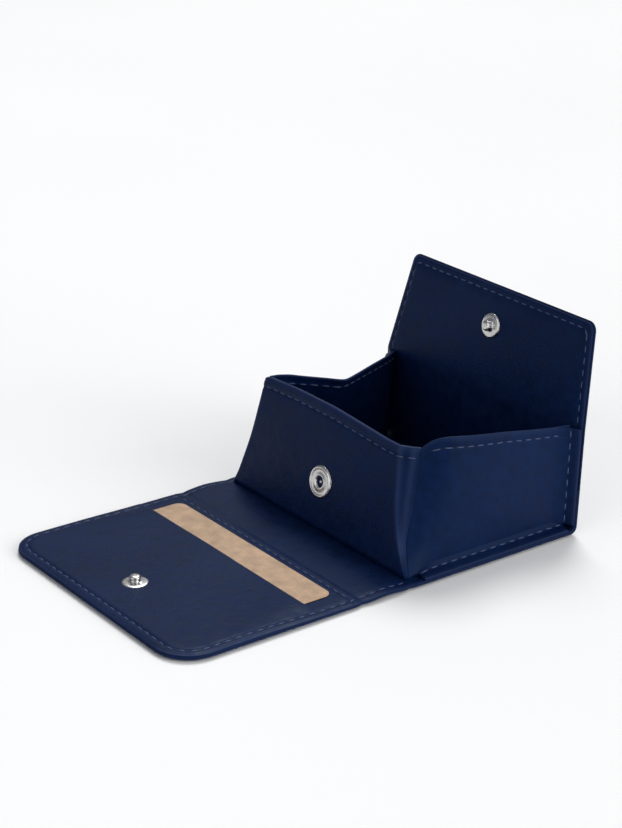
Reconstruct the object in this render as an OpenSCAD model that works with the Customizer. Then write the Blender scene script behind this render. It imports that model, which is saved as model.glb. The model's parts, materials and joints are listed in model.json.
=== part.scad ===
// Snap-fastened leather card holder with a fold-up coin box, shown open.
// One long strip makes the cover, spine, base, back wall and lid; the front wall and
// the gussets turn the base into a box. X is across the strip, +Y runs from the cover
// to the lid, +Z is up, and the origin is under the middle of the open holder.

/* [Strip] */
// Width of the strip, which clears an 85.6 mm card
strip_w = 100; // [96:0.5:110]
// Length of the cover from the spine to its free edge
cover_len = 67.5; // [62:0.5:72]
// Length of the spine, which is the height of the closed holder
spine_len = 18; // [17.5:0.5:24]
// Length of the base between the two creases
base_len = 70; // [69:0.5:74]
// Height of the back wall from the base to the lid fold
back_len = 33; // [32:0.5:35]
// Length of the lid past its fold
lid_len = 35.5; // [33:0.5:36.5]
// Width of the lid's far edge
lid_top_w = 91; // [86:0.5:96]
// Corner radius of the cover
cover_r = 12; // [6:0.5:16]
// Corner radius of the lid
lid_r = 3.5; // [1:0.5:8]

/* [Coin box] */
// Height of the front wall along its face
front_len = 38.5; // [36:0.5:39]
// Width of the front wall at the base
front_w = 94; // [88:0.5:96]
// Width of the front wall at its top edge
front_top_w = 77; // [74:0.5:88]
// Backward lean of the front wall, degrees
front_lean = 12; // [8:1:18]
// Backward lean of the back wall, degrees
back_lean = 2; // [0:1:4]
// Backward lean of the lid, degrees
lid_lean = 12; // [8:0.5:16]
// Width of the sewn flange along each gusset
flange_w = 3.7; // [3:0.1:4.2]

/* [Leather] */
// Thickness of the outer leather
shell_t = 1.2; // [1:0.1:1.4]
// Thickness of the lining leather
lining_t = 0.8; // [0.6:0.1:1]
// Thickness of the stiffening board in the base
board_t = 0.4; // [0.3:0.1:0.5]
// Thickness of the card pocket panel
pocket_t = 0.7; // [0.6:0.1:1]
// Thickness of the gusset and flange leather
gusset_t = 0.8; // [0.6:0.1:1]

/* [Label and pocket] */
// Distance from the spine fold to the pocket's mouth
mouth_y = 16.5; // [14:0.5:22]
// Width of the leather label
label_w = 83; // [70:0.5:88]
// Length of the label that shows outside the pocket
label_len = 11; // [8:0.5:12]
// Length of the label tucked under the pocket panel
label_tuck = 3; // [2:0.5:6]
// Thickness of the label
label_t = 0.5; // [0.4:0.1:0.6]

/* [Snap fasteners] */
// Radius of a stud's base
stud_r = 4.5; // [4:0.1:5]
// Height of a stud
stud_h = 3.1; // [2.6:0.1:3.3]
// Outer radius of a socket
socket_r = 5.5; // [5:0.1:6]
// Radius of a socket's bore
bore_r = 2.7; // [2.4:0.1:3]
// Distance from the cover's free edge to its stud
cover_stud_y = 17.5; // [14:0.5:22]
// Distance from the lid fold to the lid's stud
lid_stud_y = 21.8; // [20:0.1:23]
// Distance from the front crease to the front socket
front_socket_y = 15.5; // [15:0.1:17.5]
// Distance from the rear crease to the rear socket
rear_socket_y = 18.5; // [16:0.5:22]

/* [Hidden] */
$fn = 48;
navy = [0.08, 0.12, 0.25];
navy_lining = [0.06, 0.09, 0.20];
silver = [0.75, 0.75, 0.77];
strip_t = shell_t + lining_t;
fold_gap = 0.3;                 // half of the gap between two panels at a fold
wall_lift = 0.2;                // clearance under a standing wall
lining_inset = 0.6;             // the lining's edge stands back from the shell's
front_t = 1.8;
front_lining_t = 0.8;
post_t = 0.4;                   // plate of a stud's post, between shell and lining
post_r = 4;
shank_r = 1.1;
eyelet_r = 4.7;
fit = 0.1;                      // clearance round the fastener parts in the leather
corner_steps = 8;
board_margin = 4;               // the board stands back this far from the sides and the rear
board_start = 2;                // and this far from the front crease
front_r = 1.5;                  // top corners of the front wall
label_r = 3;
lid_gap = 0.5;                  // the lid starts this far past its fold
rear_flange_inset = 1.8;        // flanges on the back wall, from its side, foot and top
rear_flange_foot = 6;
rear_flange_top = 2;
gusset_body_t = 1.2;            // a gusset with its hem
gusset_dip = 3;                 // its front corner lies this far under the front wall's top
gusset_crest = 8;               // and its crest this far behind that corner
gusset_drop = 1;                // its rear corner lies this far under the lid fold
barrel_t = 0.9;
front_y = front_t + 0.3;        // inner bottom edge of the front wall
rear_y = base_len - strip_t;    // inner bottom edge of the back wall
wall_z = strip_t + wall_lift;
flange_clear = 4.5;             // flanges end this far from the creases
gusset_gap = 0.4;
gusset_x = strip_w / 2 - flange_w - 0.1;   // outer face of a gusset
lid_hinge = [rear_y + back_len * sin(back_lean), wall_z + back_len * cos(back_lean)];
front_reach = spine_len + cover_len;
rear_reach = lid_hinge[0] + lid_len * sin(lid_lean) + strip_t * cos(lid_lean);
crease_y = (front_reach - rear_reach) / 2; // puts the origin under the middle

// Points of an arc about c from angle a0 to a1
function arc(c, r, a0, a1) =
    [for (i = [0 : corner_steps]) let (a = a0 + (a1 - a0) * i / corner_steps)
        [c[0] + r * cos(a), c[1] + r * sin(a)]];

// Outline of a flap that starts at y = y0, with its two far corners rounded
function flap_outline(w0, w1, y0, y1, r) =
    concat([[w0 / 2, y0]],
           arc([w1 / 2 - r, y1 - r], r, 0, 90),
           arc([-w1 / 2 + r, y1 - r], r, 90, 180),
           [[-w0 / 2, y0]]);

// A flat panel lying on the base plane, from y0 to y1 behind the front crease
module slab(y0, y1, w, z0, t) {
    translate([-w / 2, y0, z0]) cube([w, y1 - y0, t]);
}

// Frames of the five kinds of panel: y runs away from the fold, z is the panel's normal
module on_base() { translate([0, crease_y, 0]) children(); }
module on_cover() { on_base() translate([0, -spine_len, 0]) rotate([0, 0, 180]) children(); }
module on_front() {
    on_base() translate([0, front_y, wall_z]) rotate([90 - front_lean, 0, 0]) children();
}
module on_back() {
    on_base() translate([0, rear_y, wall_z]) rotate([90 - back_lean, 0, 0]) children();
}
module on_lid() {
    on_base() translate([0, lid_hinge[0], lid_hinge[1]]) rotate([90 - lid_lean, 0, 0]) children();
}

// Snap stud, standing on z = 0
module stud() {
    neck_r = 1.5;
    rim = 0.9;
    color(silver) rotate_extrude() polygon([
        [0, 0], [stud_r, 0], [stud_r, rim / 2], [stud_r - 0.6, rim], [neck_r, rim],
        [neck_r, stud_h * 0.5], [neck_r + 0.35, stud_h * 0.68], [neck_r + 0.2, stud_h * 0.88],
        [neck_r - 0.5, stud_h], [0, stud_h]]);
}

// Post that holds a stud: a plate below the lining and a shank through it
module stud_post() {
    color(silver) translate([0, 0, -lining_t - post_t]) {
        cylinder(r = post_r, h = post_t);
        cylinder(r = shank_r, h = lining_t + post_t);
    }
}

// Snap socket, its rim on z = 0 and its barrel reaching down through the shell
module socket(depth) {
    barrel_r = bore_r + barrel_t;
    color(silver) rotate_extrude() polygon([
        [bore_r, -depth], [barrel_r, -depth], [barrel_r, 0], [socket_r, 0], [socket_r, 0.5],
        [socket_r - 0.5, 1], [socket_r - 1.4, 1.1], [bore_r + 0.6, 0.9], [bore_r, 0.6]]);
}

// Domed cap that closes a socket on the lining side, thickness down from z = 0
module eyelet(t) {
    color(silver) rotate_extrude()
        polygon([[0, -t], [eyelet_r, -t], [eyelet_r, -0.3], [eyelet_r - 0.5, 0], [0, 0]]);
}

module post_hole() { cylinder(r = shank_r + fit, h = 4 * strip_t, center = true); }
module post_recess() { translate([0, 0, -lining_t - post_t]) cylinder(r = post_r + fit, h = post_t + 1); }
module barrel_hole() { cylinder(r = bore_r + barrel_t + fit, h = 4 * strip_t, center = true); }
module eyelet_hole() { cylinder(r = eyelet_r + fit, h = 4 * strip_t, center = true); }

// Base: outer leather, stiffening board and lining
module base_shell() {
    color(navy) on_base() slab(fold_gap, base_len, strip_w, 0, shell_t - board_t);
}
module board_slab() {
    slab(fold_gap + board_start, base_len - board_margin, strip_w - 2 * board_margin,
         shell_t - board_t, board_t);
}
module base_board() { color("tan") on_base() board_slab(); }
module base_lining() {
    color(navy_lining) on_base() difference() {
        slab(fold_gap, base_len, strip_w, shell_t - board_t, lining_t + board_t);
        board_slab();
    }
}
module gusset_flange(side) {
    color(navy) on_base()
        translate([side * (strip_w - flange_w) / 2, 0, 0])
            slab(front_y + flange_clear, rear_y - flange_clear, flange_w, strip_t, gusset_t);
}

// Spine between the base and the cover
module spine_shell() {
    color(navy) on_base() slab(-spine_len + fold_gap, -fold_gap, strip_w, 0, shell_t);
}
module spine_lining() {
    color(navy_lining) on_base()
        slab(-spine_len + fold_gap, -fold_gap, strip_w - 2 * lining_inset, shell_t, lining_t);
}

// Cover with its card pocket, label and stud
module cover_sheet(inset, z0, t) {
    translate([0, 0, z0]) linear_extrude(t)
        polygon(flap_outline(strip_w - 2 * inset, strip_w - 2 * inset, fold_gap,
                             cover_len - inset, cover_r - inset));
}
module at_cover_stud() { translate([0, cover_len - cover_stud_y, strip_t]) children(); }
module cover_shell() {
    color(navy) on_cover() difference() {
        cover_sheet(0, 0, shell_t);
        at_cover_stud() post_recess();
    }
}
module cover_lining() {
    color(navy_lining) on_cover() difference() {
        cover_sheet(lining_inset, shell_t, lining_t);
        at_cover_stud() post_hole();
    }
}
module label_sheet(clear) {
    translate([0, 0, strip_t]) linear_extrude(label_t + clear)
        polygon([for (p = flap_outline(label_w + 2 * clear, label_w + 2 * clear, -label_tuck - clear,
                                       label_len, label_r))
            [p[0], mouth_y - p[1]]]);
}
module label() { color([0.76, 0.60, 0.45]) on_cover() label_sheet(0); }
module card_pocket() {
    color(navy) on_cover() difference() {
        intersection() {
            cover_sheet(lining_inset, strip_t, pocket_t);
            translate([-strip_w, mouth_y, 0]) cube([2 * strip_w, cover_len, 2 * strip_t]);
        }
        label_sheet(0.05);
        at_cover_stud() cylinder(r = stud_r + fit, h = 4 * pocket_t, center = true);
    }
}
module cover_stud() { on_cover() at_cover_stud() stud(); }
module cover_stud_post() { on_cover() at_cover_stud() stud_post(); }

// Front wall of the coin box
module front_sheet(inset, z0, t) {
    translate([0, 0, z0]) linear_extrude(t)
        polygon(flap_outline(front_w - 2 * inset, front_top_w - 2 * inset, 0, front_len - inset,
                             front_r));
}
module front_shell() {
    color(navy) on_front() difference() {
        front_sheet(0, front_lining_t, front_t - front_lining_t);
        translate([0, front_socket_y, 0]) barrel_hole();
    }
}
module front_lining() {
    color(navy_lining) on_front() difference() {
        front_sheet(lining_inset, 0, front_lining_t);
        translate([0, front_socket_y, 0]) eyelet_hole();
    }
}
module front_socket() {
    on_front() translate([0, front_socket_y, front_t]) socket(front_t - front_lining_t);
}
module front_socket_eyelet() {
    on_front() translate([0, front_socket_y, 0]) mirror([0, 0, 1]) eyelet(front_lining_t);
}

// Back wall, whose inner face is z = 0
module back_sheet(inset, z0, t) {
    translate([0, 0, z0]) slab(0, back_len - fold_gap, strip_w - 2 * inset, 0, t);
}
module back_shell() {
    color(navy) on_back() difference() {
        back_sheet(0, -strip_t, shell_t);
        translate([0, rear_socket_y, 0]) barrel_hole();
    }
}
module back_lining() {
    color(navy_lining) on_back() difference() {
        back_sheet(lining_inset, -lining_t, lining_t);
        translate([0, rear_socket_y, 0]) eyelet_hole();
    }
}
module rear_flange(side) {
    color(navy) on_back() translate([side * ((strip_w - flange_w) / 2 - rear_flange_inset), 0, 0])
        slab(rear_flange_foot, back_len - rear_flange_top, flange_w, 0, gusset_t);
}
module rear_socket() {
    on_back() translate([0, rear_socket_y, -strip_t]) mirror([0, 0, 1]) socket(shell_t);
}
module rear_socket_eyelet() {
    on_back() translate([0, rear_socket_y, 0]) eyelet(lining_t);
}

// Lid, whose inner face is z = 0
module lid_sheet(inset, z0, t) {
    translate([0, 0, z0]) linear_extrude(t)
        polygon(flap_outline(strip_w - 2 * inset, lid_top_w - 2 * inset, lid_gap, lid_len - inset,
                             lid_r));
}
module lid_shell() {
    color(navy) on_lid() difference() {
        lid_sheet(0, -strip_t, shell_t);
        translate([0, lid_stud_y, 0]) post_recess();
    }
}
module lid_lining() {
    color(navy_lining) on_lid() difference() {
        lid_sheet(lining_inset, -lining_t, lining_t);
        translate([0, lid_stud_y, 0]) post_hole();
    }
}
module lid_stud() { on_lid() translate([0, lid_stud_y, 0]) stud(); }
module lid_stud_post() { on_lid() translate([0, lid_stud_y, 0]) stud_post(); }

// Side gusset: a soft panel between the two walls, standing on the base
module gusset(side) {
    front_foot = [front_y + gusset_gap, strip_t + gusset_gap];
    front_top = [front_y + gusset_gap + (front_len - gusset_dip) * sin(front_lean),
                 wall_z + (front_len - gusset_dip) * cos(front_lean)];
    rear_face = rear_y - gusset_t - gusset_gap;
    crest = [front_top[0] + gusset_crest, wall_z + back_len];
    color(navy) on_base()
        translate([side > 0 ? gusset_x - gusset_body_t : -gusset_x, 0, 0])
            rotate([90, 0, 90]) linear_extrude(gusset_body_t)
                polygon([front_foot, [rear_face, front_foot[1]], [rear_face, wall_z + back_len - gusset_drop],
                         crest, front_top]);
}

base_shell();
base_board();
base_lining();
gusset_flange(-1);  // gusset_flange_left
gusset_flange(1);  // gusset_flange_right
spine_shell();
spine_lining();
cover_shell();
cover_lining();
card_pocket();
label();
cover_stud();
cover_stud_post();
front_shell();
front_lining();
front_socket();
front_socket_eyelet();
back_shell();
back_lining();
rear_flange(-1);  // rear_flange_left
rear_flange(1);  // rear_flange_right
rear_socket();
rear_socket_eyelet();
lid_shell();
lid_lining();
lid_stud();
lid_stud_post();
gusset(-1);  // gusset_left
gusset(1);  // gusset_right
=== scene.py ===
# Looks of the open leather card holder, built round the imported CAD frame.
import json
import math

import bmesh
import bpy
import numpy as np
from mathutils import Matrix, Vector


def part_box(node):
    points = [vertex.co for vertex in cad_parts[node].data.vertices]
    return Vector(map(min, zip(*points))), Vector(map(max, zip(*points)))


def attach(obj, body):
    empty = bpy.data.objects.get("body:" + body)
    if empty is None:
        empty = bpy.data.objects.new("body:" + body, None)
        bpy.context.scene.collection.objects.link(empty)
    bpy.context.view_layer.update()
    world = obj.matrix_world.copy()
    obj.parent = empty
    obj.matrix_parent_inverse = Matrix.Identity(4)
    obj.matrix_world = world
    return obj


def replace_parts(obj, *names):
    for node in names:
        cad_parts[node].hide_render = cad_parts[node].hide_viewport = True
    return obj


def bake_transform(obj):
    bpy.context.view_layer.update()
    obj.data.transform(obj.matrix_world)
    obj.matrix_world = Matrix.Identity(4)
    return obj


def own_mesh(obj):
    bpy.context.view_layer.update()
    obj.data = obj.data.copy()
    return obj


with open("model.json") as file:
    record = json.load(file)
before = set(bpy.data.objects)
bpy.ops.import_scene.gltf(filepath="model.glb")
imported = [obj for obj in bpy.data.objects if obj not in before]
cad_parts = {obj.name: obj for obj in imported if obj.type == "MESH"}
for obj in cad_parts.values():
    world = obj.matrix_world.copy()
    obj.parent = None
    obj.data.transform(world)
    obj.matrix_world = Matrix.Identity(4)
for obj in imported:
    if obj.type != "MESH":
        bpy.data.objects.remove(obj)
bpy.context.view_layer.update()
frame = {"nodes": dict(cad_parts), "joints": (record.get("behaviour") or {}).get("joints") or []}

# Lengths below are millimetres in the crease frame: y = 0 at the front crease of the base.
MM = 0.001
rng = np.random.default_rng(7)


def joint_place(name):
    """Place of a joint in metres of the shared frame."""
    return next(j for j in frame["joints"] if j["name"] == name)["pos_m"]


CREASE_Y = joint_place("spine_fold")[1] / MM


def fold(name):
    """Place of a joint in the crease frame, as (y, z)."""
    _, y, z = joint_place(name)
    return np.array([y / MM - CREASE_Y, z / MM])


def box(node):
    """Lowest and highest corner of a CAD node in the crease frame."""
    low, high = (np.array(c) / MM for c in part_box(node))
    shift = np.array([0, CREASE_Y, 0])
    return low - shift, high - shift


# Sizes read from the frame
SPINE_FOLD, COVER_FOLD = fold("spine_fold"), fold("cover_fold")
FRONT_FOLD, REAR_FOLD, LID_FOLD = fold("front_wall_fold"), fold("back_wall_fold"), fold("lid_fold")
HALF_W = box("base_shell")[1][0]
TOP_Z = box("base_lining")[1][2]
COVER_END = box("cover_shell")[0][1]
STRIP_T = TOP_Z
POCKET_HIGH = box("card_pocket")[1]
MOUTH_S = POCKET_HIGH[1]
POCKET_T = POCKET_HIGH[2] - TOP_Z
LABEL_LOW, LABEL_HIGH = box("label")
LABEL_T = LABEL_HIGH[2] - TOP_Z

# Sizes of the leather
LID_HALF_W = 45.5         # at the lid's free end
SHELL_T = 1.2
LAYER_GAP = 0.06          # between shell and lining
COVER_R, LID_R = 12.0, 3.5
FRONT_LEAN, BACK_LEAN, LID_LEAN = (math.radians(a) for a in (12, 2, 12))
FRONT_T = 1.8
FRONT_LEN = 38.5
LID_LEN = 35.5
REAR_R, LID_BEND_R = 1.0, 14.0
COVER_STUD_IN = 17.5      # from the cover's free edge
LID_STUD_UP, REAR_SNAP_UP, FRONT_SNAP_UP = 21.8, 18.5, 15.5    # along each wall from its fold
SEAM = 2.8                # distance of a seam from the edge
EDGE_RUN = 4.5            # width of the border that is pressed thin
EDGE_THINNING = 0.45      # share of the thickness lost at the very edge
EDGE_MIDDLE = -0.9        # level that the layers are pressed towards
EDGE_DROP = 0.38          # how far the strip's face sinks at its edge
PITCH = 3.8               # one stitch and its gap
SIDE_NAMES = {1: "right", -1: "left"}


# ---------------------------------------------------------------- materials

def node(tree, kind, place, **values):
    made = tree.nodes.new(kind)
    made.location = place
    for key, value in values.items():
        if key in made.inputs:
            made.inputs[key].default_value = value
        else:
            setattr(made, key, value)
    return made


def new_material(name):
    material = bpy.data.materials.new(name)
    material.use_nodes = True
    tree = material.node_tree
    shader = tree.nodes["Principled BSDF"]
    coords = node(tree, "ShaderNodeTexCoord", (-1400, 0))
    return material, tree, shader, coords.outputs["Object"]


def ramp(tree, source, low, high, place, positions=(0.3, 0.7)):
    """Colour ramp from low to high, driven by a value."""
    made = node(tree, "ShaderNodeValToRGB", place)
    for stop, at, colour in zip(made.color_ramp.elements, positions, (low, high)):
        stop.position, stop.color = at, (*colour, 1)
    tree.links.new(source, made.inputs["Fac"])
    return made.outputs["Color"]


def mix(tree, factor, a, b, place, blend_type="MIX"):
    """Mix of two colours; factor is a number or an output."""
    made = node(tree, "ShaderNodeMix", place, data_type="RGBA", blend_type=blend_type)
    for socket, value in ((made.inputs[0], factor), (made.inputs[6], a), (made.inputs[7], b)):
        if isinstance(value, bpy.types.NodeSocket):
            tree.links.new(value, socket)
        else:
            socket.default_value = value if isinstance(value, float) else (*value, 1)
    return made.outputs[2]


def bump(tree, height, strength, distance, place, below=None):
    made = node(tree, "ShaderNodeBump", place, Strength=strength, Distance=distance)
    tree.links.new(height, made.inputs["Height"])
    if below is not None:
        tree.links.new(below, made.inputs["Normal"])
    return made.outputs["Normal"]


def scaled(tree, coords, scale, place, kind="ShaderNodeTexNoise", **values):
    made = node(tree, kind, place, Scale=scale, **values)
    tree.links.new(coords, made.inputs["Vector"])
    return made


def leather(name, deep, light, wear_and_highlight, rough=(0.38, 0.56), sheen=0.0, grain=0.34, gloss_level=0.095):
    """Smooth semi-matte leather: fine pebble grain, soft creases, mottled dye, and a lighter colour laid on
    by the rim attribute, which is edge wear on the rims and painted highlight on ridges.
    """
    material, tree, shader, coords = new_material(name)
    patches = scaled(tree, coords, 22.0, (-1100, 300), Detail=4.0)
    mottle = scaled(tree, coords, 260.0, (-1100, 60), Detail=5.0)
    pebble = scaled(tree, coords, 1500.0, (-1100, -180), "ShaderNodeTexVoronoi")
    handled = scaled(tree, coords, 420.0, (-1100, -640), Detail=6.0, Distortion=0.8)
    creases = scaled(tree, coords, 110.0, (-1100, -420), Detail=8.0, Distortion=1.6)
    broad = ramp(tree, patches.outputs["Fac"], deep, light, (-800, 300), (0.35, 0.68))
    fine = ramp(tree, mottle.outputs["Fac"], (0.72,) * 3, (1.22,) * 3, (-800, 60))
    dyed = mix(tree, 0.75, broad, fine, (-500, 200), "MULTIPLY")
    pits = ramp(tree, pebble.outputs["Distance"], (1.06,) * 3, (0.86,) * 3, (-800, -180), (0.2, 0.9))
    pored = mix(tree, 0.5, dyed, pits, (-300, 160), "MULTIPLY")
    # Lighter colour by the rim attribute: worn edges, and painted highlight along the front wall's ridges
    rim = node(tree, "ShaderNodeAttribute", (-800, 520), attribute_name="rim")
    wear_and_highlight_mix = mix(tree, rim.outputs["Fac"], pored, wear_and_highlight, (-120, 260))
    tree.links.new(wear_and_highlight_mix, shader.inputs["Base Color"])
    gloss = ramp(tree, mottle.outputs["Fac"], (rough[0],) * 3, (rough[1],) * 3, (-500, -60))
    tree.links.new(gloss, shader.inputs["Roughness"])
    slow = bump(tree, creases.outputs["Fac"], 0.30, 0.00035, (-700, -520))
    soft = bump(tree, handled.outputs["Fac"], 0.26, 0.00022, (-500, -420), slow)
    grainy = bump(tree, pebble.outputs["Distance"], grain, 0.00008, (-300, -300), soft)
    tree.links.new(grainy, shader.inputs["Normal"])
    shader.inputs["Sheen Weight"].default_value = sheen
    shader.inputs["Sheen Roughness"].default_value = 0.4
    shader.inputs["Sheen Tint"].default_value = (0.55, 0.66, 1.0, 1)
    shader.inputs["Specular IOR Level"].default_value = gloss_level
    shader.inputs["Specular Tint"].default_value = (0.50, 0.72, 1.0, 1)
    return material


def metal(name, tint, rough=(0.12, 0.26)):
    """Nickel plate with faint turning marks and handling scuffs."""
    material, tree, shader, coords = new_material(name)
    scuffs = scaled(tree, coords, 900.0, (-1000, 0), Detail=6.0, Distortion=2.0)
    cloud = scaled(tree, coords, 300.0, (-1000, 300), Detail=3.0)
    colour = ramp(tree, cloud.outputs["Fac"], tuple(0.8 * c for c in tint), tint, (-700, 300))
    tree.links.new(colour, shader.inputs["Base Color"])
    gloss = ramp(tree, scuffs.outputs["Fac"], (rough[0],) * 3, (rough[1],) * 3, (-700, 0))
    tree.links.new(gloss, shader.inputs["Roughness"])
    shader.inputs["Metallic"].default_value = 1.0
    tree.links.new(bump(tree, scuffs.outputs["Fac"], 0.12, 0.00005, (-700, -300)), shader.inputs["Normal"])
    return material


def fibre(name, dark, light, scale, rough, strength=0.5):
    """Fibrous matte stuff: thread, board or the inside of a needle hole."""
    material, tree, shader, coords = new_material(name)
    strands = scaled(tree, coords, scale, (-1000, 0), Detail=4.0, Distortion=1.0)
    tree.links.new(ramp(tree, strands.outputs["Fac"], dark, light, (-700, 200)), shader.inputs["Base Color"])
    gloss = ramp(tree, strands.outputs["Fac"], (rough,) * 3, (min(1.0, rough + 0.15),) * 3, (-700, 0))
    tree.links.new(gloss, shader.inputs["Roughness"])
    fuzz = bump(tree, strands.outputs["Fac"], strength, 0.00015, (-700, -200))
    tree.links.new(fuzz, shader.inputs["Normal"])
    return material


NAVY = leather("navy_leather", (0.0018, 0.0086, 0.0420), (0.0036, 0.0124, 0.0530), (0.021, 0.034, 0.092))
LINING = leather("lining_leather", (0.0019, 0.0090, 0.0430), (0.0035, 0.0124, 0.0530),
                 (0.019, 0.031, 0.084), rough=(0.40, 0.58))
TAN = leather("label_leather", (0.462, 0.310, 0.194), (0.486, 0.328, 0.207), (0.39, 0.25, 0.155),
              rough=(0.5, 0.66), sheen=0.05, gloss_level=0.25)
NICKEL = metal("nickel", (0.66, 0.65, 0.64), rough=(0.16, 0.34))
# Near-black nickel: painted shade deep in a socket's bore
SHADOW_NICKEL = metal("nickel_painted_shade", (0.10, 0.10, 0.10), rough=(0.25, 0.4))
THREAD = fibre("thread", (0.016, 0.034, 0.105), (0.037, 0.064, 0.165), 2200.0, 0.55)
HOLE = fibre("needle_hole", (0.0012, 0.0018, 0.005), (0.003, 0.004, 0.010), 1500.0, 0.8, 0.2)
BOARD = fibre("board", (0.30, 0.22, 0.14), (0.42, 0.33, 0.22), 500.0, 0.8)


# ---------------------------------------------------------------- mesh helpers

def add_mesh(name, points, faces, materials, rim=None, face_material=None):
    """A mesh object from points in millimetres of the crease frame."""
    mesh = bpy.data.meshes.new(name)
    world = (np.asarray(points, float) + (0, CREASE_Y, 0)) * MM
    mesh.from_pydata(world.tolist(), [], [tuple(int(i) for i in f) for f in faces])
    for material in materials:
        mesh.materials.append(material)
    if face_material is not None:
        mesh.polygons.foreach_set("material_index", np.asarray(face_material, np.int32))
    if rim is not None:
        attribute = mesh.attributes.new("rim", "FLOAT", "POINT")
        attribute.data.foreach_set("value", np.asarray(rim, np.float32))
    work = bmesh.new()
    work.from_mesh(mesh)
    bmesh.ops.recalc_face_normals(work, faces=work.faces)
    work.to_mesh(mesh)
    work.free()
    mesh.polygons.foreach_set("use_smooth", np.ones(len(mesh.polygons), bool))
    obj = bpy.data.objects.new(name, mesh)
    bpy.context.scene.collection.objects.link(obj)
    return obj


def grid_faces(index):
    """Quads of a grid of vertex numbers."""
    a, b, c, d = index[:-1, :-1], index[:-1, 1:], index[1:, 1:], index[1:, :-1]
    return np.stack([a, b, c, d], -1).reshape(-1, 4).tolist()


def smoothstep(t):
    t = np.clip(t, 0, 1)
    return t * t * (3 - 2 * t)


def gauss(d, width):
    return np.exp(-(d / width) ** 2)


# ---------------------------------------------------------------- the strip, unrolled

def strip_stretches():
    """The strip's inner face as stretches (s, y, z, heading, curvature), and the end's s."""
    turn, lid_turn = math.pi / 2 - BACK_LEAN, BACK_LEAN - LID_LEAN
    corner_y = REAR_FOLD[0] - (REAR_FOLD[1] - TOP_Z) * math.tan(BACK_LEAN)
    corner_cut = REAR_R * math.tan(turn / 2)
    lid_cut = LID_BEND_R * math.tan(-lid_turn / 2)
    wall = math.hypot(LID_FOLD[0] - corner_y, LID_FOLD[1] - TOP_Z)
    plan = [(corner_y - corner_cut - COVER_END, 0), (REAR_R * turn, 1 / REAR_R),
            (wall - corner_cut - lid_cut, 0), (-LID_BEND_R * lid_turn, -1 / LID_BEND_R),
            (LID_LEN - lid_cut, 0)]
    s, y, z, heading = COVER_END, COVER_END, TOP_Z, 0.0
    rows = []
    for length, bend in plan:
        rows.append((s, y, z, heading, bend))
        if bend:
            after = heading + bend * length
            y += (math.sin(after) - math.sin(heading)) / bend
            z += (math.cos(heading) - math.cos(after)) / bend
            heading = after
        else:
            y, z = y + length * math.cos(heading), z + length * math.sin(heading)
        s += length
    return np.array(rows), s


STRETCHES, LID_END = strip_stretches()
REAR_S = (STRETCHES[1][0] + STRETCHES[2][0]) / 2
LID_S = (STRETCHES[3][0] + STRETCHES[4][0]) / 2
COVER_S, SPINE_S = COVER_FOLD[0], SPINE_FOLD[0]
CROSS_SEAM_S = COVER_S - 3.0
REAR_CAP_S = STRETCHES[2][0] + REAR_SNAP_UP - REAR_R
FOLDS = (COVER_S, SPINE_S, REAR_S, LID_S)


def spine_hump(s):
    """The spine stands a little proud between its two folds."""
    t = np.clip((s - COVER_S) / (SPINE_S - COVER_S), 0, 1)
    return 0.55 * np.sin(math.pi * t) ** 2


def on_strip(x, s, n):
    """Point of the strip at x across, s along and n above its inner face."""
    x, s, n = np.broadcast_arrays(np.asarray(x, float), np.asarray(s, float), np.asarray(n, float))
    k = np.clip(np.searchsorted(STRETCHES[:, 0], s, side="right") - 1, 0, len(STRETCHES) - 1)
    s0, y0, z0, h0, bend = (STRETCHES[k, c] for c in range(5))
    along = s - s0
    h = h0 + bend * along
    safe = np.where(bend == 0, 1, bend)
    y = np.where(bend == 0, y0 + along * np.cos(h0), y0 + (np.sin(h) - np.sin(h0)) / safe)
    z = np.where(bend == 0, z0 + along * np.sin(h0), z0 + (np.cos(h0) - np.cos(h)) / safe)
    n = n + (EDGE_MIDDLE - n) * EDGE_THINNING * near_edge(x, s) + spine_hump(s)
    return np.stack([x, y - n * np.sin(h), z + n * np.cos(h)], -1)


def half_width(s):
    """Half the strip's width: tapered on the lid, pinched a little at the spine's folds."""
    taper = np.interp(s, [LID_S, LID_END - LID_R], [0, HALF_W - LID_HALF_W])
    pinch = 0.55 * gauss(s - COVER_S, 1.6) + 0.45 * gauss(s - SPINE_S, 1.6)
    return HALF_W - taper - pinch


def edge_distance(x, s):
    """How far a point of the strip lies inside its outline."""
    x = np.abs(x)
    side = half_width(s) - x
    inside = np.minimum(side, np.minimum(s - COVER_END, LID_END - s))
    for end, sign, r, w in ((COVER_END, 1, COVER_R, HALF_W), (LID_END, -1, LID_R, LID_HALF_W)):
        dx, ds = x - (w - r), (end + sign * r - s) * sign
        corner = (dx > 0) & (ds > 0)
        inside = np.where(corner, r - np.hypot(dx, ds), inside)
    return inside


def near_edge(x, s):
    """1 at the strip's edge, where the layers are pressed thin, and 0 beyond the sewn border."""
    return 1 - smoothstep(edge_distance(x, s) / EDGE_RUN)


def border_relief(x, s):
    """Rolled border, sunk seam and fuller middle of sewn leather."""
    d = edge_distance(x, s)
    rolled = 0.13 * np.sin(math.pi * np.clip(d / SEAM, 0, 1))
    sunk = -0.18 * gauss(d - SEAM, 0.45)
    full = 0.12 * (1 - np.exp(-np.clip(d - SEAM, 0, None) / 3))
    return rolled + sunk + full


def swell(x, s):
    """Slow unevenness of a leather panel."""
    wave = np.sin(x / 13 + 0.6 * np.sin(s / 17)) * np.sin(s / 15 + 1.1) + 0.5 * np.sin(x / 7 + s / 9)
    return 0.07 * wave


def snap_cap(x, along):
    """1 over the hidden foot of a snap, which presses the leather up, and 0 around it."""
    return smoothstep((5.6 - np.hypot(x, along)) / 1.2)


def hem(distance, roll):
    """Rolled free edge and sunk seam, by distance from the edge."""
    return roll * gauss(distance - 1.4, 1.0) - 0.2 * gauss(distance - SEAM, 0.45)


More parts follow.
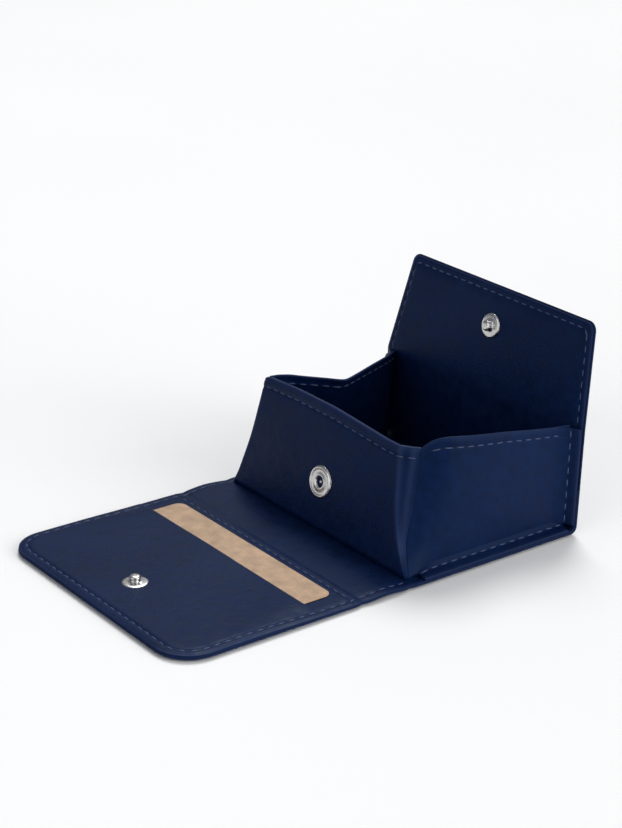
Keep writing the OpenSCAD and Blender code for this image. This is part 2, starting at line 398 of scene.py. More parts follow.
def inner_relief(x, s):
    """Height of the lining over the panel's plane."""
    cross_seam = -0.2 * gauss(s - CROSS_SEAM_S, 0.5)
    creases = -0.22 * gauss(s - COVER_S, 1.0)
    cap = 0.16 * snap_cap(x, s - REAR_CAP_S)
    return border_relief(x, s) + swell(x, s) + cross_seam + creases + cap


def outer_relief(x, s):
    """Height of the shell's outer face, outwards."""
    return 0.8 * border_relief(x, s) - 0.12 + 0.5 * swell(x + 9, s + 5)


# ---------------------------------------------------------------- panels

LANES_FROM_EDGE = np.array([0, .35, .7, 1.05, 1.4, 1.8, 2.15, 2.45, 2.7, 2.95, 3.25, 3.6, 4.2, 5.2,
                            7, 9.5, 12.5, 16, 20, 25, 30, 36, 43])
RIM_STEPS = 7


def lanes(half):
    """Places across a panel, -1 to 1, closer together near its sides."""
    steps = LANES_FROM_EDGE[LANES_FROM_EDGE < half * 0.92]
    right = 1 - steps / half
    return np.concatenate([-right, [0], right[::-1]])


def panel_rows(s0, s1, r0, r1):
    """Rows of a panel: place along the strip, and angle round a rounded end (0 between the ends)."""
    a0 = s0 + (r0 or 0)
    a1 = s1 - (r1 or 0)
    fine = np.linspace(a0, a1, max(2, int((a1 - a0) / 0.42)))
    near = np.zeros(len(fine), bool)
    for f in FOLDS + (CROSS_SEAM_S,):
        near |= np.abs(fine - f) < 3.4
    keep = near | (np.arange(len(fine)) % 5 == 0)
    keep[[0, -1]] = True
    s, turn = list(fine[keep]), [0.0] * int(keep.sum())
    if r0:
        angles = np.linspace(math.pi / 2, 0, max(6, int(r0 * 2)), endpoint=False)
        s, turn = [s0] * len(angles) + s, list(-angles) + turn
    if r1:
        angles = np.linspace(0, math.pi / 2, max(6, int(r1 * 2)) + 1)[1:]
        s, turn = s + [s1] * len(angles), turn + list(angles)
    return np.array(s), np.array(turn)


def panel(name, s0, s1, low, high, width, ends, material, top=None, bottom=None, place=on_strip,
          wear_and_highlight=1.0, rims=(0.42, 0.42)):
    """A leather panel with rounded rims. ends are the corner radii, or None where it is cut and goes on;
    rims are how far its upper and lower rim are rounded."""
    s, turn = panel_rows(s0, s1, *ends)
    angles = np.linspace(math.pi / 2, -math.pi / 2, RIM_STEPS)
    insets = np.where(angles > 0, rims[0], rims[1]) * (1 - np.cos(angles))
    levels = (high + low) / 2 + (high - low) / 2 * np.sin(angles)
    across = lanes(float(np.max(width(np.array([s0, s1])))))
    r = np.where(turn < 0, ends[0] or 0, ends[1] or 0)
    end_s = np.where(turn < 0, s0 + r, s1 - r)
    end_w = width(np.where(turn < 0, s0, s1))

    def line(inset):
        along = np.where(turn == 0, s, end_s + (r - inset) * np.sin(turn))
        half = np.where(turn == 0, width(s) - inset, end_w - r + (r - inset) * np.cos(turn))
        return along, half

    points, rim = [], []

    def add(x, along, n, wear_and_highlight_here):
        start = len(rim)
        points.extend(place(x, along, n).reshape(-1, 3))
        rim.extend(np.broadcast_to(wear_and_highlight_here, np.shape(x)).reshape(-1))
        return start + np.arange(np.size(x)).reshape(np.shape(x))

    def face_grid(level, relief):
        along, half = line(insets[0] if level > (high + low) / 2 else insets[-1])
        x = half[:, None] * across
        along = along[:, None] + 0 * x
        lift = relief(x, along) if relief else 0
        d = np.minimum(half[:, None] - np.abs(x), 9)
        return add(x, along, level + lift, 0.35 * wear_and_highlight * gauss(d, 0.6))

    up = face_grid(levels[0], top)
    down = face_grid(levels[-1], (lambda x, a: -bottom(x, a)) if bottom else None)
    sides = [[up[:, 0], up[:, -1]]]
    for inset, level in zip(insets[1:-1], levels[1:-1]):
        along, half = line(inset)
        lift = 0.6 * wear_and_highlight * max(0.0, (level - low) / (high - low))
        sides.append([add(sign * half, along, level + 0 * half, lift) for sign in (-1, 1)])
    sides.append([down[:, 0], down[:, -1]])
    faces = grid_faces(up) + grid_faces(down)
    for a, b in zip(sides[:-1], sides[1:]):
        for k in (0, 1):
            faces += grid_faces(np.stack([a[k], b[k]]))
    for row, radius in ((0, ends[0]), (-1, ends[1])):
        if radius:
            rows = [up[row]]
            for j in range(1, RIM_STEPS - 1):
                along, half = line(insets[j])
                inner = add(half[row] * across[1:-1], along[row] + 0 * across[1:-1],
                            levels[j] + 0 * across[1:-1], 0.5 * wear_and_highlight * (levels[j] - low) / (high - low))
                rows.append(np.concatenate([[sides[j][0][row]], inner, [sides[j][1][row]]]))
            rows.append(down[row])
            faces += grid_faces(np.array(rows))
        else:
            ring = [up[row]] + [[sides[j][1][row]] for j in range(1, RIM_STEPS - 1)] + [down[row][::-1]]
            ring += [[sides[j][0][row]] for j in range(RIM_STEPS - 2, 0, -1)]
            ring = np.concatenate(ring).astype(int)
            start = len(rim)
            points.extend([points[i] for i in ring])
            rim.extend([rim[i] for i in ring])
            faces.append(list(range(start, start + len(ring))))
    return add_mesh(name, points, faces, [material], rim)


def fold_blend(obj):
    """Bake a piece's placement into its mesh; the piece is not bent."""
    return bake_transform(obj)


CUT_SPINE, CUT_BASE = COVER_S / 2, 35.0
CUT_UP = 13.0             # height of the cut across the back wall
CUT_WALL = STRETCHES[2][0] + CUT_UP
# name, first and last s, end radii, bodies, fold, direction across the fold, shell nodes, lining nodes
PARTS = (
    ("cover", COVER_END, CUT_SPINE, (COVER_R, None), ("cover", "spine"), COVER_FOLD, (1, 0),
     ("cover_shell",), ("cover_lining",)),
    ("spine", CUT_SPINE, CUT_BASE, (None, None), ("spine", "base"), SPINE_FOLD, (1, 0),
     ("spine_shell",), ("spine_lining",)),
    ("base", CUT_BASE, CUT_WALL, (None, None), ("base", "back_wall"), REAR_FOLD, (1, 1),
     ("base_shell",), ("base_lining",)),
    ("lid", CUT_WALL, LID_END, (None, LID_R), ("back_wall", "lid"), LID_FOLD, (0.12, 1),
     ("back_shell", "lid_shell"), ("back_lining", "lid_lining")),
)
COVER_INSET, LID_INSET = 0.12, 0.5
BUTTED = 0.1              # rounding of two rims that lie face to face


def build_strip():
    for name, s0, s1, ends, bodies, centre, direction, shells, linings in PARTS:
        inset = LID_INSET if name == "lid" else COVER_INSET
        shell = panel(f"{name}_outer_leather", s0, s1, -STRIP_T, -STRIP_T + SHELL_T - LAYER_GAP, half_width,
                      ends, NAVY, bottom=outer_relief, rims=(BUTTED, 0.5))
        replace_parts(fold_blend(shell), *shells)
        s0 += inset if ends[0] else 0
        s1 -= inset if ends[1] else 0
        ends = [r - inset if r else None for r in ends]
        lining = panel(f"{name}_inner_leather", s0, s1, -STRIP_T + SHELL_T, 0,
                       lambda s: half_width(s) - inset, ends, LINING,
                       top=inner_relief, rims=(0.42, BUTTED))
        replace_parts(fold_blend(lining), *linings)


build_strip()


# ---------------------------------------------------------------- pocket and label

def pocket_relief(x, s):
    """The pocket panel: sewn border, and a mouth that lifts a little in the middle."""
    mouth = 0.16 * smoothstep((s - (MOUTH_S - 9)) / 9) * np.cos(x / HALF_W * 1.3)
    return border_relief(x, s) + swell(x, s) * 1.3 + mouth - 0.08


def on_pocket(x, s, n):
    """Point of the pocket panel, which is skived thin where its mouth meets the side seams."""
    skived = smoothstep((s - (MOUTH_S - 26)) / 26) * smoothstep((np.abs(x) - 41.0) / 6)
    return on_strip(x, s, n * (1 - 0.85 * skived) + inner_relief(x, s) * skived)


def build_pocket():
    inset = COVER_INSET + 0.06
    pocket = panel("pocket_panel", COVER_END + inset, MOUTH_S, 0.04, POCKET_T,
                   lambda s: half_width(s) - inset, (COVER_R - inset, 0.5), NAVY,
                   top=pocket_relief, place=on_pocket, rims=(0.5, BUTTED))
    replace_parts(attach(pocket, "cover"), "card_pocket")


def build_label():
    label = panel("label_panel", LABEL_LOW[1], LABEL_HIGH[1], 0.12, LABEL_T + 0.12,
                  lambda s: np.full(np.shape(s), LABEL_HIGH[0]), (0.6, 3.0), TAN,
                  top=lambda x, s: inner_relief(x, s) * 0.6, wear_and_highlight=0.8)
    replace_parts(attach(label, "cover"), "label")


build_pocket()
build_label()


# ---------------------------------------------------------------- front wall

UP = np.array([0, math.sin(FRONT_LEAN), math.cos(FRONT_LEAN)])
OUT = np.array([0, -math.cos(FRONT_LEAN), math.sin(FRONT_LEAN)])
FRONT_FOOT = np.array([0, *FRONT_FOLD])
# Corner bands at heights 0 to 1 of the wall: places across, and depths behind the outer face
BAND_T = np.array([0, 0.1, 0.2, 0.47, 0.75, 1.0])
BANDS = {
    1: {"ridge": np.array([46.4, 43.4, 41.0, 36.8, 34.6, 32.8]),
        "edge": np.array([46.8, 43.9, 41.6, 39.0, 37.4, 36.3]),
        "edge_depth": np.array([0.5, 0.8, 1.1, 2.0, 2.8, 3.1]),
        "groove": np.array([46.9, 44.4, 42.2, 40.2, 39.0, 37.6]),
        "groove_depth": np.array([1.2, 1.6, 2.1, 3.6, 4.3, 4.5])},
    -1: {"ridge": np.array([45.6, 44.1, 43.2, 40.8, 39.3, 38.2]),
         "edge": np.array([46.4, 45.0, 44.1, 41.7, 40.2, 39.1]),
         "edge_depth": np.array([0.6, 0.7, 0.8, 1.0, 1.1, 1.2]),
         "groove": np.array([46.8, 45.4, 44.5, 42.1, 40.6, 39.6]),
         "groove_depth": np.array([1.4, 1.7, 1.9, 2.4, 2.7, 2.9])},
}
# Height of the wall's top edge at places across: it sags before the right corner
TOP_X = np.array([-42, -36, -21, -1, 16, 26, 32, 36, 39, 42])
TOP_V = np.array([37.6, 39.0, 39.6, 39.6, 38.6, 38.0, 38.0, 38.4, 39.0, 39.8])
WALL_ROWS = np.concatenate([np.linspace(0, 0.86, 26), np.linspace(0.88, 1, 16)])
SKIN_T = FRONT_T + 0.05   # thickness of the wall's skin


def smooth_curve(t, xs, ys):
    """Cubic through the points, with slopes taken from their neighbours."""
    slopes = np.gradient(ys, xs)
    k = np.clip(np.searchsorted(xs, t) - 1, 0, len(xs) - 2)
    h = xs[k + 1] - xs[k]
    u = np.clip((t - xs[k]) / h, 0, 1)
    return ((2 * u**3 - 3 * u**2 + 1) * ys[k] + (u**3 - 2 * u**2 + u) * h * slopes[k]
            + (3 * u**2 - 2 * u**3) * ys[k + 1] + (u**3 - u**2) * h * slopes[k + 1])


def band(side, line, t):
    """Place or depth of one line of a corner band at heights t."""
    return smooth_curve(np.asarray(t, float), BAND_T, BANDS[side][line])


def soften(curve, rounds):
    """Round the corners of a row of points, keeping its ends."""
    for _ in range(rounds):
        curve[1:-1] = 0.25 * curve[:-2] + 0.5 * curve[1:-1] + 0.25 * curve[2:]
    return curve


def half_section(side, t):
    """Outer skin of half the front wall and its corner band at one height: (x, depth) points."""
    ridge, edge, edge_d, groove, groove_d = (float(band(side, line, t)) for line in BANDS[side])
    flat = ridge * (1 - np.linspace(1, 0, 34, endpoint=False) ** 2.2)
    chamfer = np.linspace(0, 1, 9, endpoint=False)
    fall = np.linspace(0, 1, 7)
    x = np.concatenate([flat, ridge + (edge - ridge) * chamfer, edge + (groove - edge) * fall])
    hollow = 0.22 * np.sin(math.pi * chamfer) * min(1, edge_d / 2)
    depth = np.concatenate([0 * flat, edge_d * chamfer + hollow, edge_d + (groove_d - edge_d) * fall])
    return soften(np.stack([x * side, depth], -1), 5)


def wall_section(t):
    """Outer skin of the whole front wall at one height, from left to right."""
    return np.concatenate([half_section(-1, t)[:0:-1], half_section(1, t)])


def wall_grid():
    """Outer and inner skin of the front wall, in its own x, height and outward coordinates."""
    outer, inner = [], []
    for t in WALL_ROWS:
        section = wall_section(t)
        x, depth = section.T
        height = t * np.interp(x, TOP_X, TOP_V)
        side = np.clip(np.abs(x) / 40, 0, 1)
        bow = 0.8 * math.sin(math.pi * min(1, t * 1.05)) * (1 - side**2)
        edge = hem((1 - t) * FRONT_LEN, 0.16)
        level = FRONT_T - depth + bow + edge + 0.9 * swell(x + 20, height + 3)
        slope = np.gradient(section, axis=0)
        normal = np.stack([slope[:, 1], -slope[:, 0]], -1)
        normal /= np.linalg.norm(normal, axis=1, keepdims=True) + 1e-9
        outer.append(np.stack([x, height, level], -1))
        away = SKIN_T + edge + 0.2 * snap_cap(x, height - FRONT_SNAP_UP)
        inner.append(np.stack([x - np.sign(x) * away * np.abs(normal[:, 0]), height,
                               level - away * np.abs(normal[:, 1]) - bow * 0.2], -1))
    return np.array(outer), np.array(inner)


def on_front(local):
    """Point of the front wall from x, height and distance out of its inner face."""
    local = np.asarray(local, float)
    return FRONT_FOOT + local[..., :1] * (1, 0, 0) + local[..., 1:2] * UP + local[..., 2:3] * OUT


def closed_sheet(name, outer, inner, materials, rim_top, round_up=0.7, wear_and_highlight=None):
    """A sheet from its two skins (rows upwards), with a rounded top edge and closed sides and foot."""
    rows, cols = outer.shape[:2]
    points = [outer.reshape(-1, 3), inner.reshape(-1, 3)]
    a = np.arange(rows * cols).reshape(rows, cols)
    b = a + rows * cols
    rim = [wear_and_highlight.reshape(-1) if wear_and_highlight is not None else np.zeros(rows * cols), np.zeros(rows * cols)]
    faces = grid_faces(a) + grid_faces(b)
    middle, half = (outer[-1] + inner[-1]) / 2, (outer[-1] - inner[-1]) / 2
    rise = outer[-1] - outer[-2]
    rise /= np.linalg.norm(rise, axis=1, keepdims=True) + 1e-9
    last, start = a[-1], 2 * rows * cols
    for angle in np.linspace(0, math.pi, 7)[1:-1]:
        points.append(middle + math.cos(angle) * half + math.sin(angle) * round_up * rise)
        rim.append(np.full(cols, rim_top))
        row = start + np.arange(cols)
        faces += grid_faces(np.stack([last, row]))
        last, start = row, start + cols
    faces += grid_faces(np.stack([last, b[-1]]))
    faces += grid_faces(np.stack([a[0], b[0]]))
    for k in (0, -1):
        faces += grid_faces(np.stack([a[:, k], b[:, k]]))
    return add_mesh(name, np.concatenate(points), faces, materials, np.concatenate(rim))


OUTER_WALL, INNER_WALL = wall_grid()


def build_front():
    x = OUTER_WALL[..., 0]
    t = WALL_ROWS[:, None] + 0 * x
    wear_and_highlight = 0 * x
    # Painted highlight along the ridge and the edge of each corner band, fading out towards the foot; the
    # top edge is coloured lighter too
    for side in (1, -1):
        for line, width in (("ridge", 0.9), ("edge", 0.8)):
            wear_and_highlight = wear_and_highlight + 0.5 * gauss(side * x - band(side, line, t), width) * smoothstep(t * 4)
    wear_and_highlight = wear_and_highlight + 0.25 * gauss((1 - t) * FRONT_LEN, 1.0)
    wall = closed_sheet("front_wall_leather", on_front(OUTER_WALL), on_front(INNER_WALL), [NAVY],
                        0.45, wear_and_highlight=wear_and_highlight)
    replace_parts(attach(wall, "front_wall"), "front_shell", "front_lining")


build_front()


# ---------------------------------------------------------------- stitches

STITCH_L, STITCH_W, STITCH_H = 2.45, 0.52, 0.27


def along_path(points, normals, phase=0.5):
    """Stitch places along a path: centre, direction and normal of each."""
    steps = np.linalg.norm(np.diff(points, axis=0), axis=1)
    travelled = np.concatenate([[0], np.cumsum(steps)])
    count = max(1, int(travelled[-1] / PITCH))
    pitch = travelled[-1] / count
    marks = []
    for k in range(count):
        at = (k + phase) * pitch
        ends = [np.array([np.interp(at + e, travelled, points[:, c]) for c in range(3)])
                for e in (-STITCH_L / 2, 0, STITCH_L / 2)]
        normal = np.array([np.interp(at, travelled, normals[:, c]) for c in range(3)])
        direction = ends[2] - ends[0]
        if np.linalg.norm(direction) > 1.5:
            marks.append((ends[1], direction / np.linalg.norm(direction), normal / np.linalg.norm(normal)))
    return marks


def stitch_mesh(name, marks):
    """Short thread capsules with a needle hole at each end."""
    ring = np.linspace(0, 2 * math.pi, 9)[:-1]
    stations = np.array([-1, -0.86, -0.5, 0, 0.5, 0.86, 1])
    girth = np.array([0.25, 0.72, 0.98, 1, 0.98, 0.72, 0.25])
    points, faces, kinds = [], [], []
    for centre, along, normal in marks:
        across = np.cross(normal, along)
        across /= np.linalg.norm(across)
        slant = rng.normal(0, 0.035)
        along, across = along + across * slant, across - along * slant
        length = STITCH_L / 2 * (1 + rng.normal(0, 0.03))
        base = len(points)
        for x, g in zip(stations, girth):
            dip = -0.16 * x**4
            for angle in ring:
                points.append(centre + along * x * length + across * math.cos(angle) * g * STITCH_W / 2
                              + normal * (math.sin(angle) * g * STITCH_H + dip))
        index = base + np.arange(len(stations) * 8).reshape(-1, 8)
        index = np.concatenate([index, index[:, :1]], axis=1)
        quads = grid_faces(index) + [index[0, :8].tolist(), index[-1, :8].tolist()]
        faces += quads
        kinds += [0] * len(quads)
        for end in (-1, 1):
            base = len(points)
            middle = centre + along * end * (length + 0.12)
            points.append(middle + normal * 0.04)
            for angle in ring:
                points.append(middle + (along * math.cos(angle) + across * math.sin(angle)) * 0.36
                              - normal * 0.03)
            disc = [[base, base + 1 + k, base + 1 + (k + 1) % 8] for k in range(8)]
            faces += disc
            kinds += [1] * len(disc)
    return add_mesh(name, points, faces, [THREAD, HOLE], face_material=kinds)


# ---------------------------------------------------------------- gussets

GUSSET_T = 0.9
GUSSET_H = 37             # about the height of a gusset's top
REAR_H = 34               # height of its rear edge
FOOT_X, FOOT_Z = 46.1, 2.3
SKIRT_X = HALF_W - 0.45   # outer edge of the gussets' sewn edges
REAR_ROUNDING = {1: 0.3, -1: 2.4}
REAR_GAP = 1.0            # between a gusset and the back wall
GROOVE_REACH = 14.0       # how far back the gusset's surface still curves out of the groove
# Top edges from front to rear: distance across, y and z
RIGHT_TOP = np.array([(37.4, 11.2, 39.4), (39.2, 12.2, 40.3), (41.0, 13.6, 41.6), (42.4, 15.6, 42.8),
                      (43.3, 18.4, 43.3), (43.8, 22.5, 43.1), (44.1, 28.5, 42.1), (44.5, 39.5, 40.6),
                      (45.1, 51, 38.8), (45.5, 60, 37.6), (45.5, 66.9, 36.8)])
LEFT_TOP = np.array([(39.4, 11.2, 39.9), (39.6, 14.0, 39.7), (38.8, 18.5, 39.0), (36.8, 23.0, 38.1),
                     (32.6, 28.4, 37.6), (27.8, 33.2, 37.3), (30.4, 39.6, 37.1), (34.8, 49.4, 36.8),
                     (39.4, 59.6, 36.3), (43.2, 64.6, 35.3), (45.0, 66.9, 34.9)])
COLUMNS = np.concatenate([np.linspace(0, 0.16, 16), np.linspace(0.18, 1, 46)])
GUSSET_ROWS = np.concatenate([np.linspace(0, 0.12, 7), np.linspace(0.16, 0.86, 20),
                              np.linspace(0.88, 1, 14)])
GUSSETS = {}              # outer skin and normals of each side's gusset, for its seams


def groove_line(side, t):
    """The inward fold where a gusset leaves the front wall's corner band."""
    height = t * np.interp(side * BANDS[side]["groove"][-1], TOP_X, TOP_V)
    local = [band(side, "groove", t) - 0.02, height, FRONT_T - band(side, "groove_depth", t) + 0.03]
    return on_front(np.stack(local, -1))


def gusset_skin(side, top, puff):
    """Outer skin of a gusset, rows upwards and columns from front to rear; x is positive outwards."""
    columns, rows = COLUMNS[None, :], GUSSET_ROWS[:, None]
    start = groove_line(side, GUSSET_ROWS)[:, None, :]
    reach = (GUSSET_ROWS * REAR_H)[:, None]
    rear_y = REAR_FOLD[0] + reach * math.tan(BACK_LEAN) - REAR_GAP
    y = start[..., 1] + (rear_y - start[..., 1]) * columns
    share = np.clip((y - top[0, 1]) / (top[-1, 1] - top[0, 1]), 0, 1)
    top_y = top[0, 1] + (top[-1, 1] - top[0, 1]) * (start[..., 1] * 0 + columns)
    top_x = np.interp(top_y, top[:, 1], top[:, 0])
    top_z = np.interp(top_y, top[:, 1], top[:, 2])
    z = FOOT_Z + (top_z - FOOT_Z) * rows
    lean = rows**1.15
    x = FOOT_X + (top_x - FOOT_X) * lean
    x = x + puff * np.sin(math.pi * rows) * np.sin(math.pi * share) ** 0.8
    leave = 1 - np.clip(1 - (y - start[..., 1]) / GROOVE_REACH, 0, 1) ** 2.3
    x = start[..., 0] * (1 - leave) + x * leave
    x = x + hem((top_z - FOOT_Z) * (1 - rows), 0.14) + 0.10 * np.sin(y / 6 + z / 9) * np.sin(math.pi * rows)
    skin = np.stack([x, y, z], -1)
    for _ in range(2):
        skin[:, 1:-1] = 0.25 * skin[:, :-2] + 0.5 * skin[:, 1:-1] + 0.25 * skin[:, 2:]
    return skin * (side, 1, 1)


def skin_normals(skin, side):
    """Outward normals of a gusset's skin."""
    along, up = np.gradient(skin, axis=1), np.gradient(skin, axis=0)
    normal = np.cross(along, up)
    normal /= np.linalg.norm(normal, axis=-1, keepdims=True) + 1e-9
    return normal * np.sign(normal[skin.shape[0] // 2, skin.shape[1] // 2, 0]) * side


def ride_gusset(obj, side):
    """A gusset piece gets its own mesh and rides on its folding panel."""
    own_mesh(obj)
    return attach(obj, f"gusset_{SIDE_NAMES[side]}_panel")


def build_gussets():
    for side, top, puff in ((1, RIGHT_TOP, 0.9), (-1, LEFT_TOP, 0.2)):
        name = SIDE_NAMES[side]
        outer = gusset_skin(side, top, puff)
        normals = skin_normals(outer, side)
        inner = outer - normals * GUSSET_T
        GUSSETS[side] = (outer, normals)
        t = GUSSET_ROWS[:, None] + 0 * outer[..., 0]
        wear_and_highlight = 0.2 * gauss((1 - t) * GUSSET_H, 0.9)
        sheet = closed_sheet(f"gusset_{name}_leather", outer, inner, [NAVY], 0.4,
                             round_up=0.45, wear_and_highlight=wear_and_highlight)
        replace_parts(ride_gusset(sheet, side), f"gusset_{name}")
        build_foot(side, outer)
        build_rear(side, outer)


def column_at(values, level):
    """Place of a level in a rising row of values, as a fractional index."""
    return np.interp(level, values, np.arange(len(values)))


def between(row, at):
    """Point of a row of points at a fractional index."""
    k = int(min(at, len(row) - 2))
    return row[k] + (row[k + 1] - row[k]) * (at - k)


def skirt(start, middle, end):
    """Sewn edge as a grid: each row of points curves from the gusset's surface out to the strip."""
    t = np.linspace(0, 1, 15)[:, None, None]
    return (1 - t) ** 2 * np.array(start) + 2 * t * (1 - t) * np.array(middle) + t**2 * np.array(end)


def skirt_piece(name, start, middle, end, under, open_end):
    """A skirt's mesh and its seam. under is the way to the leather below it, and open_end is 1 where
    its first side sinks into the gusset."""
    skin = skirt(start, middle, end)
    across = np.gradient(skin, axis=0)
    normal = np.cross(across, np.gradient(skin, axis=1))
    normal /= np.linalg.norm(normal, axis=-1, keepdims=True) + 1e-9
    normal *= -np.sign((normal * under).sum(-1).mean())
    run = np.concatenate([[0], np.cumsum(np.linalg.norm(np.diff(skin, axis=0), axis=-1).mean(1))])
    left = (run[-1] - run)[:, None]
    lift = 0.04 - 0.15 * gauss(left - SEAM, 0.45) + 0.1 * gauss(left - 1.3, 0.9)
    merge = 1 - smoothstep(run / 2.2)[:, None]
    sides = np.linspace(0, 1, skin.shape[1])[None, :]
    merge = np.maximum(merge, open_end * (1 - smoothstep(sides / 0.05)) * smoothstep(left / 3))
    skin = skin + normal * (lift - 0.3 * merge)[..., None]
    thick = 0.82 * smoothstep((run / run[-1]) * 1.6)[:, None, None]
    lower = skin + np.asarray(under, float) * (0.02 + thick)
    wear_and_highlight = 0.3 * gauss(left, 0.6) + 0 * skin[..., 0]
    piece = closed_sheet(name, skin, lower, [NAVY], 0.35, round_up=0.3, wear_and_highlight=wear_and_highlight)
    seam = int(np.argmin(np.abs(left[:, 0] - SEAM)))
    return piece, skin[seam], normal[seam]


def press_down(pieces, body):
    """Pieces that get their own mesh and ride on the leather below them."""
    for piece in pieces:
        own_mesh(piece)
        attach(piece, body)


def build_foot(side, outer):
    """The gusset's foot, sewn down along the base."""
    name = SIDE_NAMES[side]
    start, middle, end = [], [], []
    for column in outer.transpose(1, 0, 2)[6:-1]:
        rise = smoothstep((column[0, 1] - 2.0) / 11)
        start.append(between(column, column_at(column[:, 2], 3.1 + 3.2 * rise)))
        middle.append(between(column, column_at(column[:, 2], 2.95)))
        end.append((side * SKIRT_X, middle[-1][1], TOP_Z + 0.86 - EDGE_DROP))
    foot, path, facing = skirt_piece(f"gusset_{name}_foot", start, middle, end, (0, 0, -1), 1)
    thread = stitch_mesh(f"gusset_{name}_foot_stitches", along_path(path, facing))
    press_down((foot, thread), "base")
    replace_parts(foot, f"gusset_flange_{name}")


def build_rear(side, outer):
    """The gusset's rear edge, sewn up the back wall, with its top corner rounded."""
    name = SIDE_NAMES[side]
    start, middle, end = [], [], []
    for row in outer[2:]:
        rear = row[-1, 1]
        start.append(between(row, column_at(row[:, 1], rear - 7.0)))
        middle.append(between(row, column_at(row[:, 1], rear - 1.2)))
        below_top = outer[-1, -1, 2] - row[-1, 2]
        rounding = REAR_ROUNDING[side] * smoothstep(1 - below_top / 3.5)
        end.append((side * (SKIRT_X - rounding), rear + REAR_GAP - 0.95 + EDGE_DROP, row[-1, 2]))
    wall_in = np.array([0, -math.cos(BACK_LEAN), math.sin(BACK_LEAN)])
    edge, path, facing = skirt_piece(f"gusset_{name}_rear", start, middle, end, -wall_in, 0)
    thread = stitch_mesh(f"gusset_{name}_rear_stitches", along_path(path, facing))
    press_down((edge, thread),
               "back_wall")
    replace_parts(edge, f"rear_flange_{name}")


build_gussets()


# ---------------------------------------------------------------- seams of the strip

def strip_path(s0, s1, inset, sign):
    """Side seam of the strip in unrolled coordinates."""
    s = np.arange(s0, s1, 0.5)
    return np.stack([sign * (half_width(s) - inset), s], -1)


def end_path(end, inset, r, w, inward):
    """Seam round a rounded end, from the left side to the right."""
    angles = np.linspace(0, math.pi / 2, 20)
    x = w - r + (r - inset) * np.cos(angles)
    s = end + inward * (r - (r - inset) * np.sin(angles))
    half = np.stack([x, s], -1)
    across = np.stack([np.linspace(-(w - r), w - r, 60)[1:-1], np.full(58, end + inward * inset)], -1)
    return np.concatenate([half * (-1, 1), across, half[::-1]])


def lifted(path, outer):
    """Points and normals of a seam on the strip's inner or outer face."""
    x, s = path.T
    level = (-STRIP_T - outer_relief(x, s)) if outer else inner_relief(x, s)
    sign = -1 if outer else 1
    here = on_strip(x, s, level)
    facing = on_strip(x, s, level + sign) - here
    if not outer:
        pocket = (s < MOUTH_S)[:, None]
        here = np.where(pocket, on_pocket(x, s, POCKET_T + pocket_relief(x, s)), here)
    return here, facing


def build_strip_seams():
    """Stitches round the strip on both faces, and across the cover beside its fold."""
    seams = []
    turn_in, turn_out = COVER_END + COVER_R, LID_END - LID_R
    cover_end = end_path(COVER_END, SEAM, COVER_R, HALF_W, 1)
    lid_end = end_path(LID_END, SEAM, LID_R + 1.5, LID_HALF_W, -1)
    around = np.concatenate([strip_path(turn_in, turn_out, SEAM, -1), lid_end,
                             strip_path(turn_in, turn_out, SEAM, 1)[::-1], cover_end[::-1]])
    for outer in (False, True):
        for mark in along_path(*lifted(around, outer)):
            under_gusset = mark[0][1] > SPINE_S + 0.5 and mark[0][2] < LID_FOLD[1] + 1.5
            if outer or not under_gusset:
                seams.append(mark)
    x = np.linspace(-(HALF_W - SEAM - 2), HALF_W - SEAM - 2, 120)
    across = np.stack([x, np.full(len(x), CROSS_SEAM_S)], -1)
    for outer in (False, True):
        seams += along_path(*lifted(across, outer))
    return seams


def share_out(marks):
    """Give each stitch of the strip to the part that it lies on."""
    groups = {part[0]: [] for part in PARTS}
    for mark in marks:
        y, z = mark[0][1:]
        if z > CUT_UP + TOP_Z and y > CUT_BASE:
            groups["lid"].append(mark)
        elif y > CUT_BASE:
            groups["base"].append(mark)
        else:
            groups["spine" if y > CUT_SPINE else "cover"].append(mark)
    return groups


def build_front_seam():
    row = int(np.argmin(np.abs((1 - WALL_ROWS) * FRONT_LEN - SEAM)))
    marks = []
    for skin, sign in ((OUTER_WALL, 1), (INNER_WALL, -1)):
        inside = np.abs(skin[row][:, 0]) < 37.6
        path = on_front(skin[row][inside])
        marks += along_path(path, np.broadcast_to(OUT * sign, path.shape))
    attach(stitch_mesh("front_wall_stitches", marks), "front_wall")


def build_gusset_seams():
    row = int(np.argmin(np.abs((1 - GUSSET_ROWS) * GUSSET_H - SEAM)))
    first = int(np.argmax(COLUMNS > 0.05))
    for side, (skin, normals) in GUSSETS.items():
        path, facing = skin[row, first:], normals[row, first:]
        marks = along_path(path, facing) + along_path(path - facing * GUSSET_T, -facing)
        ride_gusset(stitch_mesh(f"gusset_{SIDE_NAMES[side]}_stitches", marks), side)


def build_seams():
    groups = share_out(build_strip_seams())
    for name, _, _, _, bodies, centre, direction, _, _ in PARTS:
        fold_blend(stitch_mesh(f"{name}_stitches", groups[name]))
    build_front_seam()
    build_gusset_seams()


build_seams()


# ---------------------------------------------------------------- snaps

def lathe(name, profile, origin, axis, material_rows, materials):
    """Turned metal piece: profile of (radius, height) points round an axis through origin."""
    steps = 72
    axis = np.array(axis, float) / np.linalg.norm(axis)
    side = np.cross(axis, (1, 0, 0))
    side /= np.linalg.norm(side)
    other = np.cross(axis, side)
    angles = np.linspace(0, 2 * math.pi, steps, endpoint=False)
    ring = np.cos(angles)[:, None] * side + np.sin(angles)[:, None] * other
    points = np.concatenate([origin + r * ring + h * axis for r, h in profile])
    index = np.arange(len(profile) * steps).reshape(-1, steps)
    index = np.concatenate([index, index[:, :1]], axis=1)
    faces, kinds = grid_faces(index), []
    for row in range(len(profile) - 1):
        kinds += [material_rows[row]] * steps
    faces += [index[0, :steps].tolist(), index[-1, :steps].tolist()]
    kinds += [material_rows[0], material_rows[-1]]
    return add_mesh(name, points, faces, materials, face_material=kinds)


